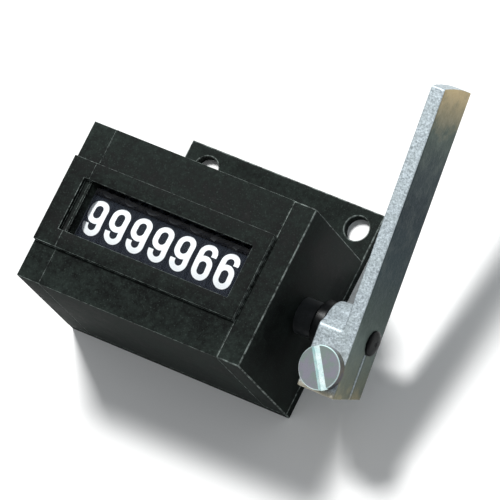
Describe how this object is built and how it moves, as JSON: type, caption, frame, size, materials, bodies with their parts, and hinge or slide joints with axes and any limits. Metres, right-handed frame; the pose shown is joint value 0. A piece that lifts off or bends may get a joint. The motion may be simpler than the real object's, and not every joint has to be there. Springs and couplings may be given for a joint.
{
  "type": "row counter",
  "caption": "Lever-operated stroke counter in a black box case: numeral wheels behind a window, a side shaft with a clamped cast lever, and a back plate with a drilled flange.",
  "frame": {"origin": "centre of the case's back, which is the mounting face", "axes": "+Z out of the mounting face towards the window, +Y towards the tops of the numerals and the mounting flange, +X towards the lever, along the shaft"},
  "size_m": [0.0794, 0.0793, 0.0454],
  "materials": {
    "case_plastic": "moulded black, satin",
    "pane": "clear",
    "wheel_plastic": "black with white numerals",
    "pinion_plastic": "natural acetal",
    "black_steel": "blackened steel",
    "zinc_casting": "bright zinc die casting",
    "plated_steel": "zinc plated",
    "spring_steel": "bright wire"
  },
  "bodies": {
    "case": {"base_frame": "case_plastic", "centre_cover": "case_plastic", "left_end_cap": "case_plastic", "window_pane": "pane", "case_screws": "black_steel", "bearing_bush": "case_plastic", "pinion_shaft": "plated_steel", "holding_pawl_pin": "plated_steel", "holding_pawl_spring": "spring_steel", "stroke_stops": "plated_steel", "return_spring": "spring_steel"},
    "drive": {"drive_shaft": "black_steel", "shaft_collar": "black_steel", "retaining_ring": "spring_steel", "pawl_carrier": "plated_steel", "drive_pawl_pin": "plated_steel", "drive_pawl_spring": "spring_steel", "lever": "zinc_casting", "clamp_screw": "plated_steel"},
    "drive_pawl": {"drive_pawl": "plated_steel"},
    "holding_pawl": {"holding_pawl": "plated_steel"},
    "units_wheel": {"units_wheel": "wheel_plastic", "ratchet_wheel": "plated_steel"},
    "tens_wheel": {"tens_wheel": "wheel_plastic"},
    "hundreds_wheel": {"hundreds_wheel": "wheel_plastic"},
    "thousands_wheel": {"thousands_wheel": "wheel_plastic"},
    "ten_thousands_wheel": {"ten_thousands_wheel": "wheel_plastic"},
    "hundred_thousands_wheel": {"hundred_thousands_wheel": "wheel_plastic"},
    "millions_wheel": {"millions_wheel": "wheel_plastic"},
    "tens_pinion": {"tens_pinion": "pinion_plastic"},
    "hundreds_pinion": {"hundreds_pinion": "pinion_plastic"},
    "thousands_pinion": {"thousands_pinion": "pinion_plastic"},
    "ten_thousands_pinion": {"ten_thousands_pinion": "pinion_plastic"},
    "hundred_thousands_pinion": {"hundred_thousands_pinion": "pinion_plastic"},
    "millions_pinion": {"millions_pinion": "pinion_plastic"}
  },
  "joints": [
    {"name": "lever_stroke", "type": "hinge", "parent": "case", "child": "drive", "pos_m": [0, 0, 0.019], "axis": [1, 0, 0], "range_deg": [0, 55], "stiffness_Nm_per_rad": 0.02, "springref_deg": -34.38, "deforming": ["return_spring"]},
    {"name": "drive_pawl_pivot", "type": "hinge", "parent": "drive", "child": "drive_pawl", "pos_m": [0.0195, 0.01184, 0.02331], "axis": [-1, 0, 0], "range_deg": [0, 12], "stiffness_Nm_per_rad": 0.0004, "springref_deg": -34.38},
    {"name": "holding_pawl_pivot", "type": "hinge", "parent": "case", "child": "holding_pawl", "pos_m": [0.0195, -0.01184, 0.01469], "axis": [-1, 0, 0], "range_deg": [0, 12], "stiffness_Nm_per_rad": 0.0004, "springref_deg": -34.38},
    {"name": "units_wheel_turn", "type": "hinge", "parent": "case", "child": "units_wheel", "pos_m": [0.01528, 0, 0.019], "axis": [1, 0, 0], "continuous": true},
    {"name": "tens_wheel_turn", "type": "hinge", "parent": "case", "child": "tens_wheel", "pos_m": [0.00937, 0, 0.019], "axis": [1, 0, 0], "continuous": true},
    {"name": "hundreds_wheel_turn", "type": "hinge", "parent": "case", "child": "hundreds_wheel", "pos_m": [0.00346, 0, 0.019], "axis": [1, 0, 0], "continuous": true},
    {"name": "thousands_wheel_turn", "type": "hinge", "parent": "case", "child": "thousands_wheel", "pos_m": [-0.00245, 0, 0.019], "axis": [1, 0, 0], "continuous": true},
    {"name": "ten_thousands_wheel_turn", "type": "hinge", "parent": "case", "child": "ten_thousands_wheel", "pos_m": [-0.00836, 0, 0.019], "axis": [1, 0, 0], "continuous": true},
    {"name": "hundred_thousands_wheel_turn", "type": "hinge", "parent": "case", "child": "hundred_thousands_wheel", "pos_m": [-0.01427, 0, 0.019], "axis": [1, 0, 0], "continuous": true},
    {"name": "millions_wheel_turn", "type": "hinge", "parent": "case", "child": "millions_wheel", "pos_m": [-0.02018, 0, 0.019], "axis": [1, 0, 0], "continuous": true},
    {"name": "tens_pinion_turn", "type": "hinge", "parent": "case", "child": "tens_pinion", "pos_m": [0.01232, -0.013, 0.0076], "axis": [1, 0, 0], "continuous": true},
    {"name": "hundreds_pinion_turn", "type": "hinge", "parent": "case", "child": "hundreds_pinion", "pos_m": [0.00641, -0.013, 0.0076], "axis": [1, 0, 0], "continuous": true},
    {"name": "thousands_pinion_turn", "type": "hinge", "parent": "case", "child": "thousands_pinion", "pos_m": [0.0005, -0.013, 0.0076], "axis": [1, 0, 0], "continuous": true},
    {"name": "ten_thousands_pinion_turn", "type": "hinge", "parent": "case", "child": "ten_thousands_pinion", "pos_m": [-0.00541, -0.013, 0.0076], "axis": [1, 0, 0], "continuous": true},
    {"name": "hundred_thousands_pinion_turn", "type": "hinge", "parent": "case", "child": "hundred_thousands_pinion", "pos_m": [-0.01132, -0.013, 0.0076], "axis": [1, 0, 0], "continuous": true},
    {"name": "millions_pinion_turn", "type": "hinge", "parent": "case", "child": "millions_pinion", "pos_m": [-0.01723, -0.013, 0.0076], "axis": [1, 0, 0], "continuous": true}
  ],
  "couplings": [
    {"joint": "tens_wheel_turn", "follows": "units_wheel_turn", "ratio": 0.1},
    {"joint": "hundreds_wheel_turn", "follows": "units_wheel_turn", "ratio": 0.01},
    {"joint": "thousands_wheel_turn", "follows": "units_wheel_turn", "ratio": 0.001},
    {"joint": "ten_thousands_wheel_turn", "follows": "units_wheel_turn", "ratio": 0.0001},
    {"joint": "hundred_thousands_wheel_turn", "follows": "units_wheel_turn", "ratio": 0.00001},
    {"joint": "millions_wheel_turn", "follows": "units_wheel_turn", "ratio": 0.000001},
    {"joint": "tens_pinion_turn", "follows": "units_wheel_turn", "ratio": -0.33333},
    {"joint": "hundreds_pinion_turn", "follows": "units_wheel_turn", "ratio": -0.033333},
    {"joint": "thousands_pinion_turn", "follows": "units_wheel_turn", "ratio": -0.0033333},
    {"joint": "ten_thousands_pinion_turn", "follows": "units_wheel_turn", "ratio": -0.00033333},
    {"joint": "hundred_thousands_pinion_turn", "follows": "units_wheel_turn", "ratio": -0.000033333},
    {"joint": "millions_pinion_turn", "follows": "units_wheel_turn", "ratio": -0.0000033333}
  ]
}
